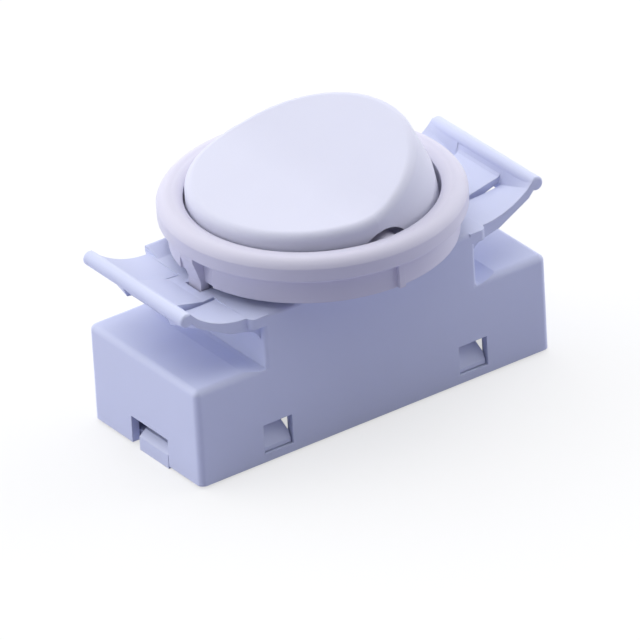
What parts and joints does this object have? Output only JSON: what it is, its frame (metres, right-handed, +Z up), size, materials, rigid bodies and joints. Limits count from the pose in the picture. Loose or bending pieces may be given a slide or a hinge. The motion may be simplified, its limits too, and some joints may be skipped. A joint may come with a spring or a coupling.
{
  "type": "lighted rocker switch",
  "caption": "Panel rocker switch with a round bezel, a round lit rocker and a long white housing held by spring arms.",
  "frame": {"origin": "middle of the base's underside", "axes": "+X along the long side towards the raised end of the rocker, +Y to the rear, +Z up through the rocker"},
  "size_m": [0.0494, 0.0348, 0.032],
  "materials": {
    "housing_plastic": "satin moulded",
    "bezel_plastic": "satin moulded",
    "rocker_plastic": "satin moulded, slightly translucent",
    "plunger_plastic": "moulded",
    "spring_steel": "bright",
    "brass": "stamped",
    "contact_metal": "silver",
    "lamp_glass": "clear",
    "resistor_body": "lacquered",
    "lead_wire": "tinned"
  },
  "bodies": {
    "housing": {"housing_cover": "housing_plastic", "base_tray": "housing_plastic", "bezel_ring": "bezel_plastic", "common_strip": "brass", "load_strip": "brass", "neutral_strip": "brass", "fixed_contact": "contact_metal", "common_clamp_leaf": "spring_steel", "load_clamp_leaf": "spring_steel", "neutral_clamp_leaf": "spring_steel", "neon_lamp": "lamp_glass", "lamp_resistor": "resistor_body", "lamp_lead_load": "lead_wire", "lamp_lead_link": "lead_wire", "lamp_lead_neutral": "lead_wire"},
    "rocker": {"rocker_cap": "rocker_plastic", "plunger_spring": "spring_steel"},
    "plunger": {"plunger": "plunger_plastic"},
    "lever": {"contact_lever": "brass", "moving_contact": "contact_metal"}
  },
  "joints": [
    {"name": "rocker_tilt", "type": "hinge", "parent": "housing", "child": "rocker", "pos_m": [0, 0, 0.02235], "axis": [0, 1, 0], "range_deg": [0, 25]},
    {"name": "plunger_slide", "type": "slide", "parent": "rocker", "child": "plunger", "axis": [-0.2164, 0, 0.9763], "range_m": [0, 0.0008], "stiffness_N_per_m": 400, "springref_m": -0.001, "deforming": ["plunger_spring"]},
    {"name": "lever_tilt", "type": "hinge", "parent": "housing", "child": "lever", "pos_m": [0, 0, 0.0122], "axis": [0, 1, 0], "range_deg": [-12, 0]}
  ],
  "couplings": [
    {"joint": "lever_tilt", "follows": "rocker_tilt", "ratio": -0.48}
  ]
}
